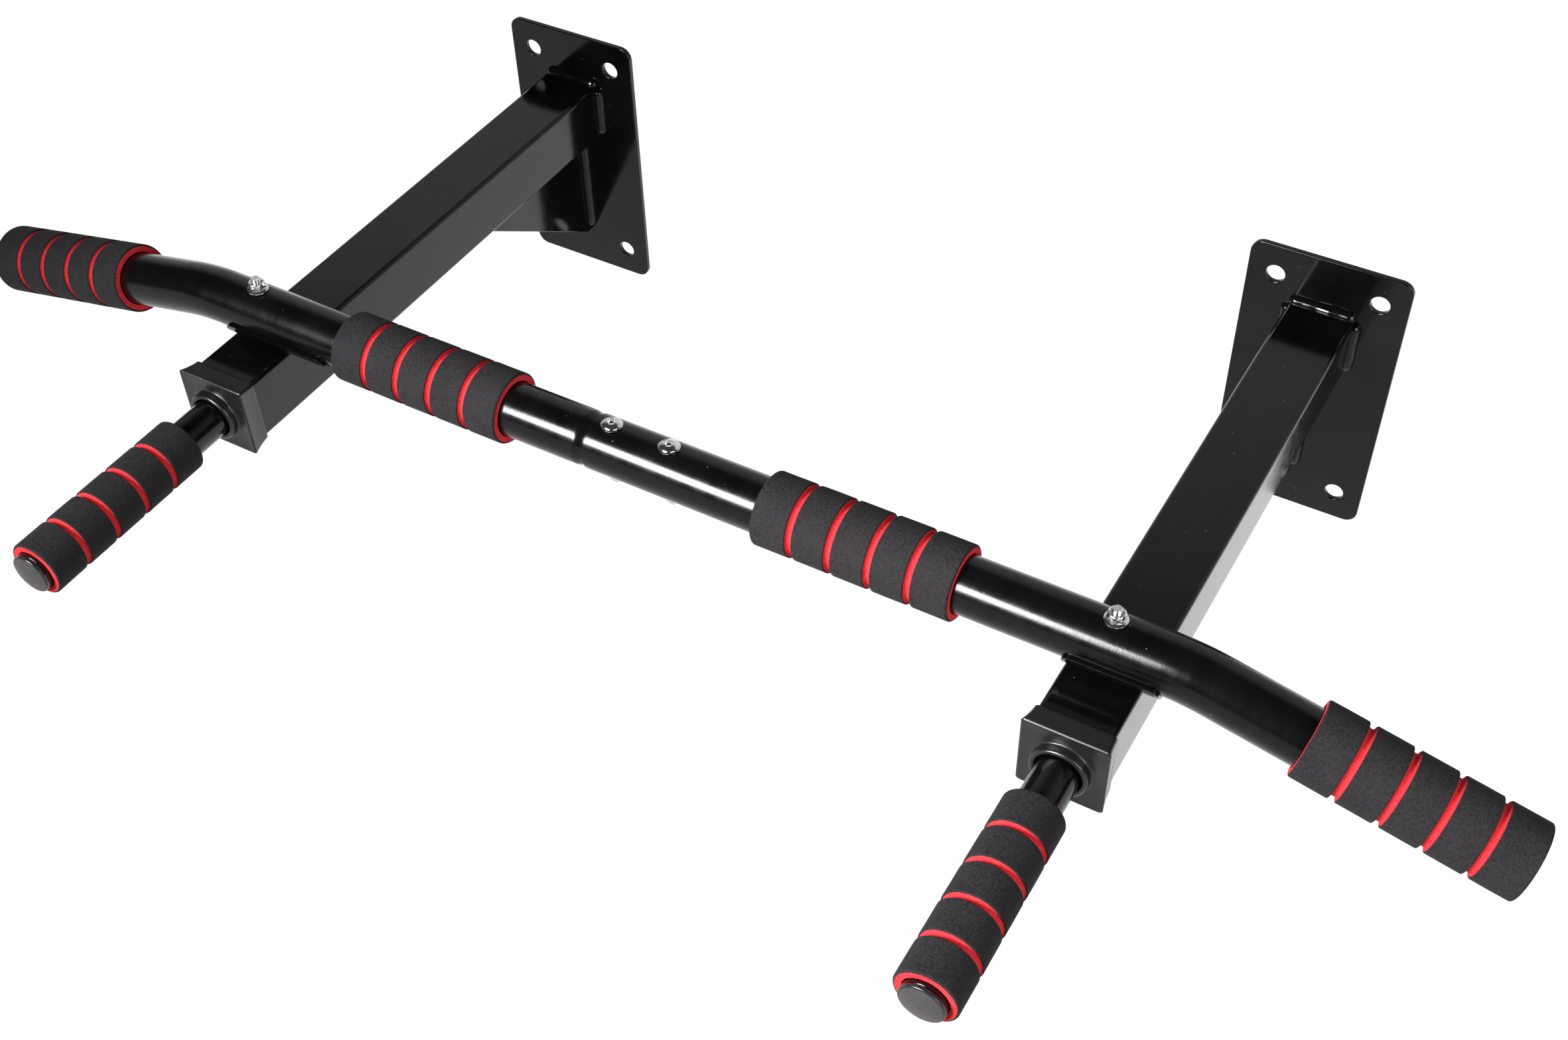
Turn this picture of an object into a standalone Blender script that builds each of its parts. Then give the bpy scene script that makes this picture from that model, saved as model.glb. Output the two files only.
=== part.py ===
"""Wall-mounted pull-up bar.

Two welded brackets stand out from the wall. A two-piece steel bar lies across them in trough-shaped
saddles, held down at each crossing by one long bolt. Each bracket also carries a short neutral
handle in its front end. Metres, +X along the bar, +Y into the wall, +Z up. The wall plane is
y = 0, and the origin is midway between the plates, at half their height.
"""

import math

import bmesh
import bpy
from mathutils import Vector

# ---- driving dimensions, metres ----

GAP = 0.0003
"""Left between pieces that touch, so that each one stays a solid of its own."""

BRACKET_SPACING = 0.592

PLATE_WIDTH = 0.108
PLATE_HEIGHT = 0.210
PLATE_THICKNESS = 0.004
PLATE_CORNER = 0.009
SCREW_HOLE_DIAMETER = 0.013
SCREW_HOLE_EDGE_X = 0.019
SCREW_HOLE_EDGE_Z = 0.022

ARM_SIZE = 0.045
ARM_WALL = 0.002
ARM_CORNER = 0.003
ARM_BELOW_PLATE_TOP = 0.038
ARM_FRONT = 0.410
"""Distance from the wall to the front end of the arm's tube."""

GUSSET_THICKNESS = 0.005
GUSSET_HEIGHT = 0.095
GUSSET_LENGTH = 0.142
GUSSET_NOSE = 0.006
GUSSET_CLIP = 0.008

WELD_LEG = 0.005

BAR_BEHIND_ARM_FRONT = 0.055
"""From the arm's front end back to the bar's axis."""
BAR_DIAMETER = 0.035
BAR_WALL = 0.002
BAR_TAIL = 0.203
"""From the start of each bend to that end of the bar, along its axis."""
BEND_PAST_ARM = 0.030
"""From each arm's centre line out to the start of the bend."""
BEND_RADIUS = 0.140
BEND_ANGLE = math.radians(12.5)
SOCKET_OVERLAP = 0.036
NECK_LENGTH = 0.008
SPIGOT_CLEARANCE = 0.0003

SADDLE_WALL = 0.002
SADDLE_REACH = {"left": (-0.018, 0.062), "right": (-0.022, 0.034)}
"""From the arm's centre line to the saddle's two ends, along X."""
SADDLE_RIM_DROP = math.radians(12)
"""How far round the bar the saddle's rims lie below the bar's mid-height."""

CAP_WALL = 0.0012
CAP_FLARE = 0.0018
"""How much further out the cap's front edge is than its rear rim, on each side."""
CAP_SKIRT = 0.011
CAP_FACE = 0.0032
COLLAR_WALL = 0.004
COLLAR_HEIGHT = 0.006

HANDLE_DIAMETER = 0.026
HANDLE_WALL = 0.002
HANDLE_PAST_BAR = 0.030
"""How far the handle's tube runs back past the bar's axis, to its end inside the arm."""
HANDLE_NECK = 0.028
"""Bare tube between the cap's collar and the handle's foam."""
HANDLE_END_STEP = 0.002
"""How far the handle's tube stands out of its foam grip."""
BUSH_THICKNESS = 0.006

GRIP_LENGTH = 0.126
GRIP_FOAM = 0.0055
GRIP_BORE_CLEARANCE = 0.0006
GRIP_GROOVES = 4
GRIP_GROOVE_DEPTH = 0.0028
GRIP_GROOVE_WIDTH = 0.005
GRIP_EDGE = 0.0015
GRIP_PAST_BAR = 0.005
"""How far each outer grip runs on past the end of the bar."""
CENTRE_GRIP_INBOARD = {"left": 0.137, "right": 0.151}
"""From each arm's centre line in to the middle of its centre grip."""

PLUG_RIM = 0.0015
PLUG_DOME = 0.0028
PLUG_STEM = 0.014

BOLT_DIAMETER = 0.006
BOLT_CLEARANCE = 0.0008
"""How much wider a bolt's hole is than the bolt."""
BOLT_HEAD_DIAMETER = 0.0136
BOLT_HEAD_HEIGHT = 0.0033
BOLT_SOCKET = 0.004
BOLT_SOCKET_DEPTH = 0.0018
BOLT_END = 0.0028
"""How far a bolt's threaded end stands out of its nut."""
NUT_WIDTH = 0.010
NUT_HEIGHT = 0.006
NUT_FLANGE_DIAMETER = 0.0138
NUT_FLANGE = 0.0014
HEX_HEAD_HEIGHT = 0.004
JOINT_BOLTS = {"left": -0.024, "right": 0.016}

# ---- places worked out from them ----

BRACKET_X = {"left": -BRACKET_SPACING / 2, "right": BRACKET_SPACING / 2}
ARM_TOP = PLATE_HEIGHT / 2 - ARM_BELOW_PLATE_TOP
ARM_AXIS = ARM_TOP - ARM_SIZE / 2
ARM_BOTTOM = ARM_TOP - ARM_SIZE
BOLT_HOLE_DIAMETER = BOLT_DIAMETER + BOLT_CLEARANCE
BAR_REACH = ARM_FRONT - BAR_BEHIND_ARM_FRONT
"""Distance from the wall to the bar's axis."""
BEND_START = BRACKET_SPACING / 2 + BEND_PAST_ARM
BAR_HALF_LENGTH = BEND_START + BAR_TAIL
"""From the middle of the bar to each end, along its axis."""
BAR_RADIUS = BAR_DIAMETER / 2
BAR_HEIGHT = ARM_TOP + GAP + SADDLE_WALL + GAP + BAR_RADIUS
SPIGOT_RADIUS = BAR_RADIUS - BAR_WALL - SPIGOT_CLEARANCE
CAP_CAVITY_SIZE = ARM_SIZE + 2 * GAP
CAP_REAR_SIZE = CAP_CAVITY_SIZE + 2 * CAP_WALL
CAP_FRONT_SIZE = CAP_REAR_SIZE + 2 * CAP_FLARE
CAP_BACK = ARM_FRONT - CAP_SKIRT
CAP_FRONT = ARM_FRONT + GAP + CAP_FACE
HANDLE_INNER_END = BAR_REACH - HANDLE_PAST_BAR
HANDLE_GRIP_REAR = CAP_FRONT + COLLAR_HEIGHT + HANDLE_NECK
HANDLE_FRONT = HANDLE_GRIP_REAR + GRIP_LENGTH + HANDLE_END_STEP
GROOVE_PITCH = GRIP_LENGTH / (GRIP_GROOVES + 1)
OUTER_GRIP_MIDDLE = BAR_HALF_LENGTH + GRIP_PAST_BAR - GRIP_LENGTH / 2

ROUND = 24
"""Points round a tube. It divides by four, as the square rings need."""
BOLT_ROUND = 12
"""Points round a bolt or nut. It divides by six, as a hexagon needs."""

# ---- rings of points, and solids skinned over them ----


def circle(radius, count=ROUND):
    """A ring of (a, b) pairs, starting at the middle of a square ring's side."""
    turns = (2 * math.pi * i / count for i in range(count))
    return [(radius * math.cos(t), radius * math.sin(t)) for t in turns]


def rounded_rectangle(width, height, corner, count=ROUND):
    """A ring with the same number of points as a circle, so that the two can be joined."""
    steps = count // 4
    ring = []
    for quarter in range(4):
        sign_a = (1, -1, -1, 1)[quarter]
        sign_b = (1, 1, -1, -1)[quarter]
        for step in range(steps):
            turn = math.pi / 2 * (quarter + step / (steps - 1))
            a = sign_a * (width / 2 - corner) + corner * math.cos(turn)
            b = sign_b * (height / 2 - corner) + corner * math.sin(turn)
            ring.append((a, b))
    return ring


def hexagon(width, count=BOLT_ROUND):
    """A ring that lies on a hexagon of this width across its flats."""
    ring = []
    for i in range(count):
        turn = 2 * math.pi * i / count
        off_flat = (turn + math.pi / 6) % (math.pi / 3) - math.pi / 6
        reach = width / 2 / math.cos(off_flat)
        ring.append((reach * math.cos(turn), reach * math.sin(turn)))
    return ring


def along_x(ring, x):
    return [Vector((x, a, b)) for a, b in ring]


def along_y(ring, y):
    return [Vector((a, y, b)) for a, b in ring]


def along_z(ring, z):
    return [Vector((a, b, z)) for a, b in ring]


def skin(rings, ends):
    """A mesh over rings of equal length. Ends are 'capped', or 'joined' as in a tube with a bore."""
    mesh = bmesh.new()
    loops = [[mesh.verts.new(point) for point in ring] for ring in rings]
    pairs = list(zip(loops, loops[1:]))
    if ends == "joined":
        pairs.append((loops[-1], loops[0]))
    else:
        mesh.faces.new(loops[0])
        mesh.faces.new(loops[-1])
    for first, second in pairs:
        for i in range(len(first)):
            j = (i + 1) % len(first)
            mesh.faces.new((first[i], first[j], second[j], second[i]))
    bmesh.ops.recalc_face_normals(mesh, faces=mesh.faces)
    return mesh


def place(name, mesh, material, parent, location=(0, 0, 0), rotation=(0, 0, 0), smooth=True):
    """Makes the named object, under its parent."""
    data = bpy.data.meshes.new(name)
    mesh.to_mesh(data)
    mesh.free()
    data.materials.append(material)
    for face in data.polygons:
        face.use_smooth = smooth
    if smooth:
        data.set_sharp_from_angle(angle=math.radians(35))
    piece = bpy.data.objects.new(name, data)
    bpy.context.scene.collection.objects.link(piece)
    piece.parent = parent
    piece.location = location
    piece.rotation_euler = rotation
    return piece


def drill(piece, diameter, centre, half_length, axis):
    """Cuts a round hole through a piece. The centre is in the piece's own frame."""
    to_axis = {"y": along_y, "z": along_z}[axis]
    ring = circle(diameter / 2, BOLT_ROUND)
    mesh = skin([to_axis(ring, -half_length), to_axis(ring, half_length)], "capped")
    steel = piece.data.materials[0]
    cutter = place(piece.name + "_cutter", mesh, steel, piece, centre, smooth=False)
    cutter.hide_render = True
    cutter.display_type = "WIRE"
    hole = piece.modifiers.new("hole", "BOOLEAN")
    hole.operation = "DIFFERENCE"
    hole.solver = "EXACT"
    hole.object = cutter


def empty(name, location):
    anchor = bpy.data.objects.new(name, None)
    bpy.context.scene.collection.objects.link(anchor)
    anchor.location = location
    return anchor


# ---- materials ----


def finish(name, colour, roughness, metallic=0.0):
    material = bpy.data.materials.new(name)
    material.use_nodes = True
    material.diffuse_color = (*colour, 1.0)
    shader = material.node_tree.nodes["Principled BSDF"]
    shader.inputs["Base Color"].default_value = (*colour, 1.0)
    shader.inputs["Roughness"].default_value = roughness
    shader.inputs["Metallic"].default_value = metallic
    return material


# ---- the bracket ----


def wall_plate(side, bracket, paint):
    outline = rounded_rectangle(PLATE_WIDTH, PLATE_HEIGHT, PLATE_CORNER)
    mesh = skin([along_y(outline, 0), along_y(outline, -PLATE_THICKNESS)], "capped")
    plate = place(side + "_wall_plate", mesh, paint, bracket, smooth=False)
    for x in (SCREW_HOLE_EDGE_X - PLATE_WIDTH / 2, PLATE_WIDTH / 2 - SCREW_HOLE_EDGE_X):
        for z in (SCREW_HOLE_EDGE_Z - PLATE_HEIGHT / 2, PLATE_HEIGHT / 2 - SCREW_HOLE_EDGE_Z):
            drill(plate, SCREW_HOLE_DIAMETER, (x, 0, z), 4 * PLATE_THICKNESS, "y")


def arm(side, bracket, paint):
    """The square tube, drilled top and bottom for the crossing bolt."""
    outside = rounded_rectangle(ARM_SIZE, ARM_SIZE, ARM_CORNER)
    inside_size = ARM_SIZE - 2 * ARM_WALL
    inside = rounded_rectangle(inside_size, inside_size, ARM_CORNER - ARM_WALL)
    back = -PLATE_THICKNESS - GAP
    rings = [
        along_y(outside, back),
        along_y(outside, -ARM_FRONT),
        along_y(inside, -ARM_FRONT),
        along_y(inside, back),
    ]
    tube = place(side + "_arm", skin(rings, "joined"), paint, bracket, (0, 0, ARM_AXIS))
    drill(tube, BOLT_HOLE_DIAMETER, (0, -BAR_REACH, 0), ARM_SIZE, "z")


def gusset(side, bracket, paint):
    """The triangular plate under the arm, clipped in its corner and blunt at its tips."""
    top = ARM_BOTTOM - GAP
    wall = -PLATE_THICKNESS - GAP
    tip = wall - GUSSET_LENGTH
    foot = top - GUSSET_HEIGHT
    outline = [
        (wall, top - GUSSET_CLIP),
        (wall, foot),
        (wall - GUSSET_NOSE, foot),
        (tip, top - GUSSET_NOSE),
        (tip, top),
        (wall - GUSSET_CLIP, top),
    ]
    half = GUSSET_THICKNESS / 2
    mesh = skin([along_x(outline, -half), along_x(outline, half)], "capped")
    place(side + "_gusset", mesh, paint, bracket, smooth=False)


def weld(name, bracket, paint, length, location, rotation):
    """A fillet bead: it lies along X in the corner between a face at +Y and a face at -Z."""
    steps = 5
    outline = [(0.0, 0.0)]
    for step in range(steps + 1):
        turn = math.pi / 2 * step / steps
        outline.append((-WELD_LEG * math.cos(turn), WELD_LEG * math.sin(turn)))
    slim = [(0.6 * a, 0.6 * b) for a, b in outline]
    half = length / 2
    rings = [
        along_x(slim, -half),
        along_x(outline, WELD_LEG / 2 - half),
        along_x(outline, half - WELD_LEG / 2),
        along_x(slim, half),
    ]
    place(name, skin(rings, "capped"), paint, bracket, location, rotation)


def welds(side, bracket, paint):
    """The beads that join the arm and the gusset to the plate."""
    front = -PLATE_THICKNESS - GAP
    top = (0, front, ARM_TOP + GAP)
    weld(side + "_top_weld", bracket, paint, ARM_SIZE, top, (0, 0, 0))
    arm_side = ARM_SIZE / 2 + GAP
    arm_flat = ARM_SIZE - 2 * ARM_CORNER
    gusset_side = GUSSET_THICKNESS / 2 + GAP
    gusset_length = GUSSET_HEIGHT - 2 * GUSSET_CLIP
    gusset_middle = ARM_BOTTOM - GUSSET_HEIGHT / 2 - GUSSET_CLIP / 2
    quarter = math.pi / 2
    for hand, turn, sign in (("left_hand", -quarter, -1), ("right_hand", quarter, 1)):
        where = (sign * arm_side, front, ARM_AXIS)
        weld(f"{side}_arm_{hand}_weld", bracket, paint, arm_flat, where, (0, turn, 0))
        where = (sign * gusset_side, front, gusset_middle)
        weld(f"{side}_gusset_{hand}_weld", bracket, paint, gusset_length, where, (0, turn, 0))


def saddle(side, bracket, paint):
    """The trough-shaped shell that the bar lies in, bored for the crossing bolt."""
    steps = ROUND // 2
    sweep = math.pi - 2 * SADDLE_RIM_DROP
    turns = [math.pi + SADDLE_RIM_DROP + sweep * step / steps for step in range(steps + 1)]
    inner = BAR_RADIUS + GAP
    outer = inner + SADDLE_WALL
    outline = [(outer * math.cos(t), outer * math.sin(t)) for t in turns]
    outline += [(inner * math.cos(t), inner * math.sin(t)) for t in reversed(turns)]
    start, end = SADDLE_REACH[side]
    mesh = skin([along_x(outline, start), along_x(outline, end)], "capped")
    where = (0, -BAR_REACH, BAR_HEIGHT)
    shell = place(side + "_saddle", mesh, paint, bracket, where)
    drill(shell, BOLT_HOLE_DIAMETER, (0, 0, -BAR_RADIUS), BAR_RADIUS / 2, "z")


# ---- the handle in the arm's front end ----


def arm_cap(side, bracket, plastic):
    """The moulded cap: a flared square skirt, a face, and a round collar for the handle."""
    rear = rounded_rectangle(CAP_REAR_SIZE, CAP_REAR_SIZE, ARM_CORNER)
    flare = rounded_rectangle(CAP_FRONT_SIZE, CAP_FRONT_SIZE, ARM_CORNER)
    lip_size = CAP_FRONT_SIZE - 0.001
    lip = rounded_rectangle(lip_size, lip_size, ARM_CORNER)
    cavity = rounded_rectangle(CAP_CAVITY_SIZE, CAP_CAVITY_SIZE, ARM_CORNER)
    bore_radius = HANDLE_DIAMETER / 2 + GAP
    bore = circle(bore_radius)
    collar = circle(bore_radius + COLLAR_WALL)
    collar_top = circle(bore_radius + COLLAR_WALL - 0.001)
    collar_front = CAP_FRONT + COLLAR_HEIGHT
    rings = [
        along_y(rear, -CAP_BACK),
        along_y(flare, -CAP_FRONT + 0.001),
        along_y(lip, -CAP_FRONT),
        along_y(collar, -CAP_FRONT),
        along_y(collar, -collar_front + 0.001),
        along_y(collar_top, -collar_front),
        along_y(bore, -collar_front),
        along_y(bore, -ARM_FRONT - GAP),
        along_y(cavity, -ARM_FRONT - GAP),
        along_y(cavity, -CAP_BACK),
    ]
    mesh = skin(rings, "joined")
    place(side + "_arm_cap", mesh, plastic, bracket, (0, 0, ARM_AXIS))


def handle_tube(side, bracket, paint):
    """The handle's tube runs back past the crossing bolt, which pins it in the arm."""
    outside = circle(HANDLE_DIAMETER / 2)
    inside = circle(HANDLE_DIAMETER / 2 - HANDLE_WALL)
    rings = [
        along_y(outside, -HANDLE_INNER_END),
        along_y(outside, -HANDLE_FRONT),
        along_y(inside, -HANDLE_FRONT),
        along_y(inside, -HANDLE_INNER_END),
    ]
    mesh = skin(rings, "joined")
    tube = place(side + "_handle_tube", mesh, paint, bracket, (0, 0, ARM_AXIS))
    drill(tube, BOLT_HOLE_DIAMETER, (0, -BAR_REACH, 0), HANDLE_DIAMETER, "z")


def handle_bush(side, bracket, steel):
    """The square plate inside the arm that keeps the handle's inner end on the arm's axis."""
    size = ARM_SIZE - 2 * ARM_WALL - 2 * GAP
    outside = rounded_rectangle(size, size, ARM_CORNER - ARM_WALL)
    bore = circle(HANDLE_DIAMETER / 2 + GAP)
    back = -HANDLE_INNER_END - 0.002
    front = back - BUSH_THICKNESS
    rings = [
        along_y(outside, back),
        along_y(outside, front),
        along_y(bore, front),
        along_y(bore, back),
    ]
    mesh = skin(rings, "joined")
    place(side + "_handle_bush", mesh, steel, bracket, (0, 0, ARM_AXIS))


# ---- plugs and foam grips, made along their own +X ----


def tube_plug(name, tube_radius, tube_wall, plastic, parent, location, rotation):
    """A push-in plug. Its stem goes back into the tube from x = 0, and its rim covers the wall."""
    stem = tube_radius - tube_wall - GAP
    rim = tube_radius + 0.0002
    front = GAP + PLUG_RIM
    shape = [
        (-PLUG_STEM, stem),
        (GAP, stem),
        (GAP, rim),
        (front, rim),
        (front + 0.7 * PLUG_DOME, 0.8 * rim),
        (front + PLUG_DOME, 0.45 * rim),
    ]
    rings = [along_x(circle(radius), x) for x, radius in shape]
    place(name, skin(rings, "capped"), plastic, parent, location, rotation)


def foam_grip(name, tube_radius, foam, parent, location, rotation):
    """A foam sleeve with rounded ends and grooves round it, centred on x = 0."""
    bore = tube_radius + GRIP_BORE_CLEARANCE
    outer = tube_radius + GRIP_FOAM
    floor = outer - GRIP_GROOVE_DEPTH
    end = GRIP_LENGTH / 2
    shape = [(-end, bore), (-end, outer - GRIP_EDGE), (GRIP_EDGE - end, outer)]
    for groove in range(1, GRIP_GROOVES + 1):
        middle = groove * GROOVE_PITCH - end
        shape.append((middle - GRIP_GROOVE_WIDTH / 2, outer))
        shape.append((middle, floor))
        shape.append((middle + GRIP_GROOVE_WIDTH / 2, outer))
    shape += [(end - GRIP_EDGE, outer), (end, outer - GRIP_EDGE), (end, bore)]
    rings = [along_x(circle(radius), x) for x, radius in shape]
    place(name, skin(rings, "joined"), foam, parent, location, rotation)


# ---- the bar ----


def bar_station(along):
    """(x, z, slope) of the bar's axis, a distance along it from the middle, on the +X side."""
    if along <= BEND_START:
        return along, 0.0, 0.0
    slope = min((along - BEND_START) / BEND_RADIUS, BEND_ANGLE)
    x = BEND_START + BEND_RADIUS * math.sin(slope)
    z = -BEND_RADIUS * (1 - math.cos(slope))
    straight = along - BEND_START - BEND_RADIUS * slope
    return x + straight * math.cos(slope), z - straight * math.sin(slope), slope


def bar_ring(along, radius):
    x, z, slope = bar_station(along)
    ring = []
    for a, b in circle(radius):
        ring.append(Vector((x + b * math.sin(slope), a, z + b * math.cos(slope))))
    return ring


def bar_half(name, inner_end, bar, paint, rotation, holes):
    """One bent half. The inner end lists (distance along, outer radius) from its tip outwards."""
    steps = 5
    bend = [BEND_START + BEND_RADIUS * BEND_ANGLE * step / steps for step in range(steps + 1)]
    stations = list(inner_end)
    stations += [(along, BAR_RADIUS) for along in bend + [BAR_HALF_LENGTH]]
    outside = [bar_ring(along, radius) for along, radius in stations]
    inside = [bar_ring(along, radius - BAR_WALL) for along, radius in reversed(stations)]
    mesh = skin(outside + inside, "joined")
    half = place(name, mesh, paint, bar, rotation=rotation)
    for x in holes:
        drill(half, BOLT_HOLE_DIAMETER, (x, 0, 0), BAR_DIAMETER, "z")


# ---- fasteners, made along their own +Z ----


def crossing_bolt(name, steel, parent, location, grip):
    """A hex bolt with its head below z = 0 and its shank going up by the grip length."""
    flats = hexagon(NUT_WIDTH)
    shank = circle(BOLT_DIAMETER / 2, BOLT_ROUND)
    tip = circle(BOLT_DIAMETER / 2 - 0.0006, BOLT_ROUND)
    rings = [
        along_z(flats, -HEX_HEAD_HEIGHT),
        along_z(flats, 0),
        along_z(shank, 0),
        along_z(shank, grip - 0.0006),
        along_z(tip, grip),
    ]
    place(name, skin(rings, "capped"), steel, parent, location)


def button_bolt(name, steel, parent, location, grip):
    """A flanged button-head bolt with a hex socket. The head is above z = 0, the shank below."""
    shank = circle(BOLT_DIAMETER / 2, BOLT_ROUND)
    flange = circle(BOLT_HEAD_DIAMETER / 2, BOLT_ROUND)
    shoulder = circle(BOLT_HEAD_DIAMETER / 2 - 0.0016, BOLT_ROUND)
    crown = circle(BOLT_HEAD_DIAMETER / 2 - 0.0032, BOLT_ROUND)
    socket = hexagon(BOLT_SOCKET)
    rings = [
        along_z(shank, -grip),
        along_z(shank, 0),
        along_z(flange, 0),
        along_z(flange, 0.0008),
        along_z(shoulder, 0.0018),
        along_z(crown, BOLT_HEAD_HEIGHT),
        along_z(socket, BOLT_HEAD_HEIGHT),
        along_z(socket, BOLT_HEAD_HEIGHT - BOLT_SOCKET_DEPTH),
    ]
    place(name, skin(rings, "capped"), steel, parent, location)


def flange_nut(name, steel, parent, location, rotation=(0, 0, 0)):
    """A hex nut with a flange at its foot, which stands on z = 0."""
    bore = circle(BOLT_DIAMETER / 2 + GAP, BOLT_ROUND)
    flange = circle(NUT_FLANGE_DIAMETER / 2, BOLT_ROUND)
    flats = hexagon(NUT_WIDTH)
    top = circle(NUT_WIDTH / 2, BOLT_ROUND)
    rings = [
        along_z(bore, 0),
        along_z(flange, 0),
        along_z(flange, NUT_FLANGE / 2),
        along_z(flats, NUT_FLANGE),
        along_z(flats, NUT_HEIGHT - 0.0006),
        along_z(top, NUT_HEIGHT),
        along_z(bore, NUT_HEIGHT),
    ]
    place(name, skin(rings, "joined"), steel, parent, location, rotation)


# ---- the whole object ----


def build():
    for old in list(bpy.data.objects):
        bpy.data.objects.remove(old)

    paint = finish("black_powder_coat", (0.018, 0.017, 0.019), 0.30)
    plastic = finish("black_plastic", (0.022, 0.022, 0.023), 0.45)
    foam = finish("black_foam", (0.075, 0.070, 0.072), 0.95)
    zinc = finish("bright_zinc", (0.72, 0.72, 0.70), 0.25, metallic=1.0)
    steel = finish("bare_steel", (0.35, 0.35, 0.36), 0.45, metallic=1.0)

    bar = empty("bar", (0, -BAR_REACH, BAR_HEIGHT))
    forward = -math.pi / 2

    for side, x in BRACKET_X.items():
        bracket = empty(side + "_bracket", (x, 0, 0))
        wall_plate(side, bracket, paint)
        arm(side, bracket, paint)
        gusset(side, bracket, paint)
        welds(side, bracket, paint)
        saddle(side, bracket, paint)
        arm_cap(side, bracket, plastic)
        handle_tube(side, bracket, paint)
        handle_bush(side, bracket, steel)

        handle_radius = HANDLE_DIAMETER / 2
        end = (0, -HANDLE_FRONT, ARM_AXIS)
        name = side + "_handle_plug"
        tube_plug(name, handle_radius, HANDLE_WALL, plastic, bracket, end, (0, 0, forward))
        middle = (0, -HANDLE_GRIP_REAR - GRIP_LENGTH / 2, ARM_AXIS)
        foam_grip(side + "_handle_grip", handle_radius, foam, bracket, middle, (0, 0, forward))

        bar_top = BAR_HEIGHT + BAR_RADIUS + GAP
        under_arm = ARM_BOTTOM - GAP
        grip = bar_top + NUT_HEIGHT + BOLT_END - under_arm
        foot = (0, -BAR_REACH, under_arm)
        crossing_bolt(side + "_crossing_bolt", zinc, bracket, foot, grip)
        flange_nut(side + "_crossing_nut", zinc, bracket, (0, -BAR_REACH, bar_top))

    socket_end = [(-SOCKET_OVERLAP, BAR_RADIUS)]
    spigot_end = [
        (-SOCKET_OVERLAP, SPIGOT_RADIUS),
        (SOCKET_OVERLAP - GAP, SPIGOT_RADIUS),
        (SOCKET_OVERLAP + NECK_LENGTH, BAR_RADIUS),
    ]
    turn_round = (0, 0, math.pi)
    joint = list(JOINT_BOLTS.values())
    right_holes = joint + [BRACKET_X["right"]]
    left_holes = [-x for x in joint] + [-BRACKET_X["left"]]
    bar_half("right_bar", socket_end, bar, paint, (0, 0, 0), right_holes)
    bar_half("left_bar", spigot_end, bar, paint, turn_round, left_holes)

    for side, x in JOINT_BOLTS.items():
        seat = BAR_RADIUS + GAP
        grip = 2 * seat + NUT_HEIGHT + BOLT_END
        button_bolt(side + "_joint_bolt", zinc, bar, (x, 0, seat), grip)
        flange_nut(side + "_joint_nut", zinc, bar, (x, 0, -seat), (math.pi, 0, 0))

    for side, sign in (("left", -1), ("right", 1)):
        slope = BEND_ANGLE if side == "right" else math.pi - BEND_ANGLE
        x, z, _ = bar_station(OUTER_GRIP_MIDDLE)
        name = side + "_outer_grip"
        foam_grip(name, BAR_RADIUS, foam, bar, (sign * x, 0, z), (0, slope, 0))
        x, z, _ = bar_station(BAR_HALF_LENGTH)
        name = side + "_end_plug"
        tube_plug(name, BAR_RADIUS, BAR_WALL, plastic, bar, (sign * x, 0, z), (0, slope, 0))
        middle = (BRACKET_X[side] - sign * CENTRE_GRIP_INBOARD[side], 0, 0)
        foam_grip(side + "_centre_grip", BAR_RADIUS, foam, bar, middle, (0, 0, 0))


build()
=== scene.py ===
import math

import bmesh
import bpy
from mathutils import Euler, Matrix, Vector, noise


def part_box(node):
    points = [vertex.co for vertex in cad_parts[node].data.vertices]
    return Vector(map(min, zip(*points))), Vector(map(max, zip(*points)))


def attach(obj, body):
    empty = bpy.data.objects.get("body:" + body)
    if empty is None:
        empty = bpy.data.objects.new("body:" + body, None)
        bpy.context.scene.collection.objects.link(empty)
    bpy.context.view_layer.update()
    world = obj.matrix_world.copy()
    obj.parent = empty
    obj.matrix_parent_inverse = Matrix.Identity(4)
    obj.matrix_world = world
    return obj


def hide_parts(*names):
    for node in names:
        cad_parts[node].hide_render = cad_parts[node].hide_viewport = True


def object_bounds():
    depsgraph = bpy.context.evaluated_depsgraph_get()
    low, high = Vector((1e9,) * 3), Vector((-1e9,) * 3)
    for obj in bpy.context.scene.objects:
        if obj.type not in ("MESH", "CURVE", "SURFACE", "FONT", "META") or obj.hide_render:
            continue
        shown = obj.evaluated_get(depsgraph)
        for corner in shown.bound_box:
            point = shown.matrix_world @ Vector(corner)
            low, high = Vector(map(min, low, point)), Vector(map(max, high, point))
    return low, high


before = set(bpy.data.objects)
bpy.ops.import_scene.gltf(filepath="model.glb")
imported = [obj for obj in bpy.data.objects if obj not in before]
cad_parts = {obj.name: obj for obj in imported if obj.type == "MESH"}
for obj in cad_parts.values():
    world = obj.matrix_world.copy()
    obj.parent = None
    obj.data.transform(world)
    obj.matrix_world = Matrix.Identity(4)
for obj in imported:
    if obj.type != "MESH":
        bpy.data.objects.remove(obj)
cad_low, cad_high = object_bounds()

# ---- wall plates ----
# Each bracket starts from a flat steel plate with rounded corners and four round holes for wall
# screws. Plates, arms, gussets, beads, saddles and tubes all carry one gloss black powder coat,
# baked on after welding, so its edges are softened and its face is very slightly rippled.

PLATE_CORNER = 0.009
PLATE_EDGE = 0.0007
SCREW_HOLE_RADIUS = 0.0065
SCREW_HOLE_IN_X = 0.019
SCREW_HOLE_IN_Z = 0.022
COAT_IOR = 1.38
BRACKETS = ("left", "right")


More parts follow.
